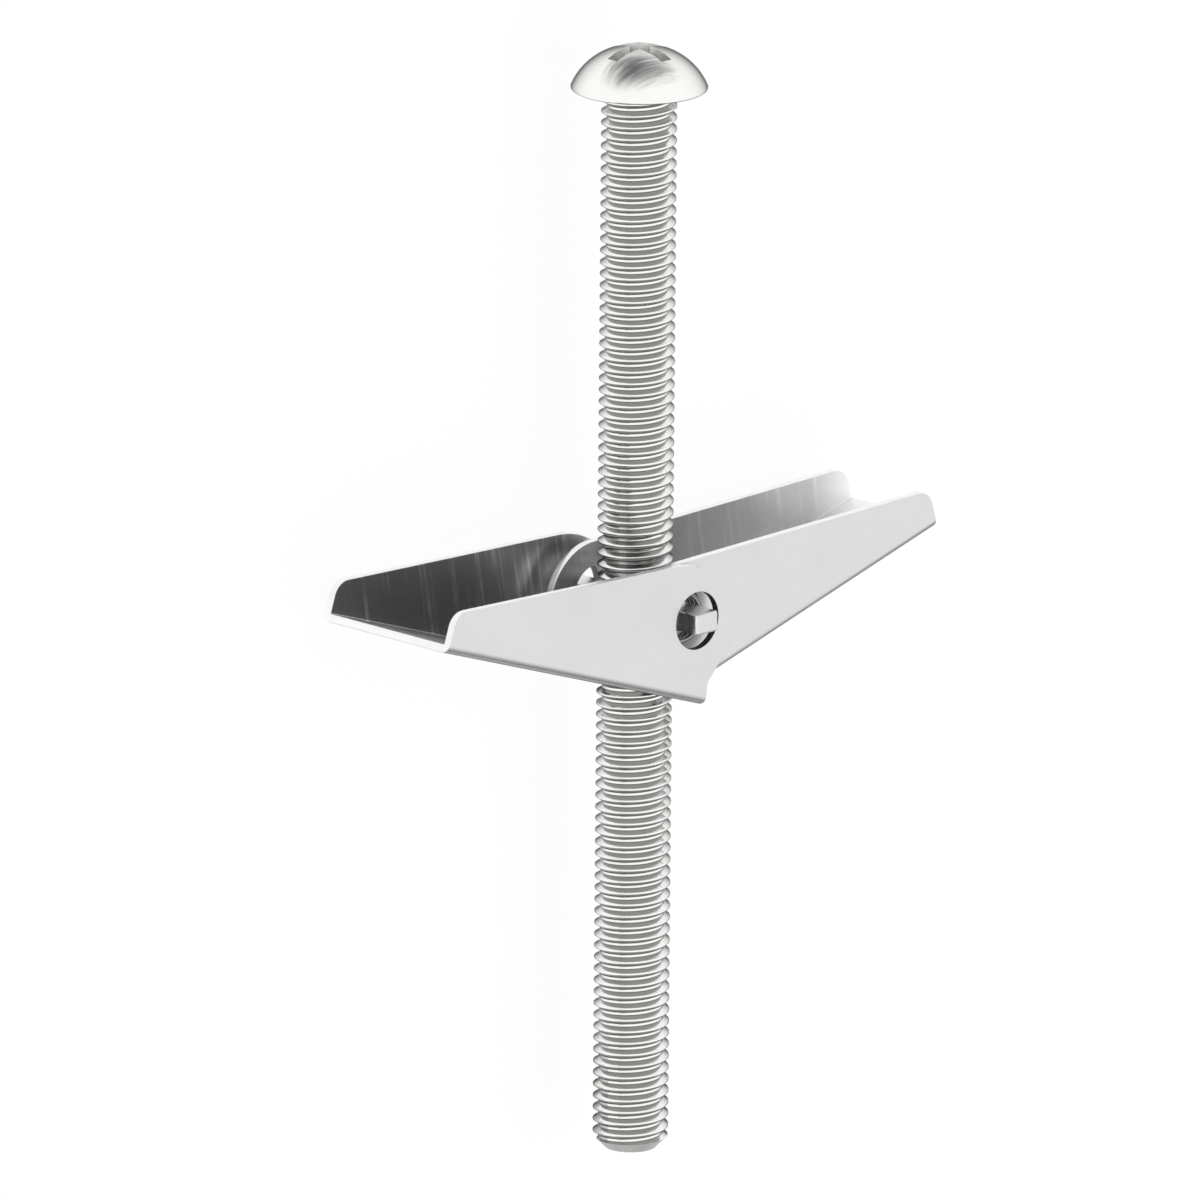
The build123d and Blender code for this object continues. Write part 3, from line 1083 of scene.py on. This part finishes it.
def make_world():
    """A white room where it is seen, and a softer one for stray light."""
    world = bpy.data.worlds.new("studio")
    world.use_nodes = True
    tree = world.node_tree
    background = tree.nodes["Background"]
    background.inputs["Color"].default_value = (1, 1, 1, 1)
    strength = add_range(tree, seen_paths(tree), 0.0, 1.0, to_low=settings("studio_sizes").stray_light)
    tree.links.new(strength, background.inputs["Strength"])
    return world


def make_camera(sizes):
    """The camera at the photograph's angle, with the screw upright in the picture."""
    azimuth, elevation = sizes.camera_azimuth, sizes.camera_elevation
    back = Vector((sin(azimuth) * cos(elevation), -cos(azimuth) * cos(elevation), sin(elevation)))
    screw_way = Vector((0, 1, 0))
    upright = (screw_way - back * screw_way.dot(back)).normalized()
    up = Matrix.Rotation(sizes.camera_roll, 3, back) @ upright
    right = up.cross(back)
    camera = bpy.data.cameras.new("studio_camera")
    camera.lens = camera.sensor_width * sizes.camera_distance / sizes.frame_width
    camera.clip_end = 2 * sizes.camera_distance
    holder = new_object("studio_camera", camera)
    target = HINGE + right * sizes.frame_right + up * sizes.frame_up
    turned = Matrix((right, up, back)).transposed().to_4x4()
    holder.matrix_world = Matrix.Translation(target + back * sizes.camera_distance) @ turned
    return holder


def add_reflected_cards(sizes):
    """The grey cards beyond both ends of the bolt that its metal mirrors."""
    band = band_material(
        "far_band",
        UNDER_HEAD_Y,
        sizes.band_middle,
        sizes.band_tilt,
        sizes.band_reach,
        sizes.band_rise,
        sizes.band_grey,
        sizes.band_streaks,
    )
    horizon = band_material(
        "horizon_band",
        SCREW_LOW.y,
        (0, 0),
        0,
        sizes.sky_reach,
        sizes.sky_rise,
        sizes.horizon_grey,
        sizes.sky_streaks,
    )
    plain = card_material("free_end_grey", sizes.free_end_grey)

    # Upright cards
    sides = (-sizes.card_half_width, sizes.card_half_width)
    away = sizes.card_distance
    add_flag("free_end_horizon", [(x, -away, z) for z in (0, sizes.sky_height) for x in sides], horizon)
    add_flag("far_band", [(x, away, z) for z in (0, sizes.card_height) for x in sides], band)

    # Lying cards, a tapered one beyond the head and a square-cornered one beyond the free end
    start, lifted = sizes.card_start, sizes.card_lift
    tapered = [(-start, start, lifted), (start, start, lifted)] + [(x, away, lifted) for x in sides]
    add_flag("near_band", tapered, band)
    left_right = (sizes.end_card_left, sizes.end_card_right)
    far_near = (sizes.end_card_far, sizes.end_card_near)
    add_flag("free_end_card", [(x, y, lifted) for y in far_near for x in left_right], plain)


class ANCHOR_OT_stage(bpy.types.Operator):
    """Lays the floor, lights the room and sets the camera"""

    bl_idname = "anchor.make_stage"
    bl_label = "Make the studio"

    def execute(self, context):
        """Builds the stage."""
        sizes = settings("studio_sizes")
        bpy.ops.object.select_all(action="DESELECT")
        bpy.ops.mesh.primitive_plane_add(size=sizes.floor_size)
        floor = context.object
        floor.name = "studio_floor"
        floor.data.materials.append(floor_material())
        add_reflected_cards(sizes)
        add_area_light("overhead_softbox", sizes.lamp_place, sizes.lamp_size, sizes.lamp_watts)
        context.scene.world = make_world()
        context.scene.camera = make_camera(sizes)
        context.scene.view_settings.view_transform = "Standard"
        return {"FINISHED"}


class ANCHOR_PT_panel(bpy.types.Panel):
    """Lists the add-on's steps"""

    bl_idname = "ANCHOR_PT_panel"
    bl_label = "Toggle bolt"
    bl_space_type = "VIEW_3D"
    bl_region_type = "UI"
    bl_category = "Anchor"

    def draw(self, context):
        """Shows a button for each step."""
        for step in STEPS:
            self.layout.operator(step.bl_idname)


GROUPS = {
    "screw_sizes": ScrewSizes,
    "spring_sizes": SpringSizes,
    "sheet_sizes": SheetSizes,
    "finishes": Finishes,
    "studio_sizes": StudioSizes,
}
STEPS = (ANCHOR_OT_screw, ANCHOR_OT_nut, ANCHOR_OT_spring, ANCHOR_OT_wings, ANCHOR_OT_stage)


def register():
    """Adds the settings, the steps and the panel."""
    for name, group in GROUPS.items():
        bpy.utils.register_class(group)
        setattr(bpy.types.Scene, name, PointerProperty(type=group))
    for step in STEPS:
        bpy.utils.register_class(step)
    bpy.utils.register_class(ANCHOR_PT_panel)


def unregister():
    """Takes them away again."""
    bpy.utils.unregister_class(ANCHOR_PT_panel)
    for step in reversed(STEPS):
        bpy.utils.unregister_class(step)
    for name, group in GROUPS.items():
        delattr(bpy.types.Scene, name)
        bpy.utils.unregister_class(group)


def main():
    """Builds every piece and the stage."""
    register()
    bpy.ops.anchor.make_screw()
    bpy.ops.anchor.make_nut()
    bpy.ops.anchor.make_spring()
    bpy.ops.anchor.make_wings()
    bpy.ops.anchor.make_stage()


if __name__ == "__main__":
    main()
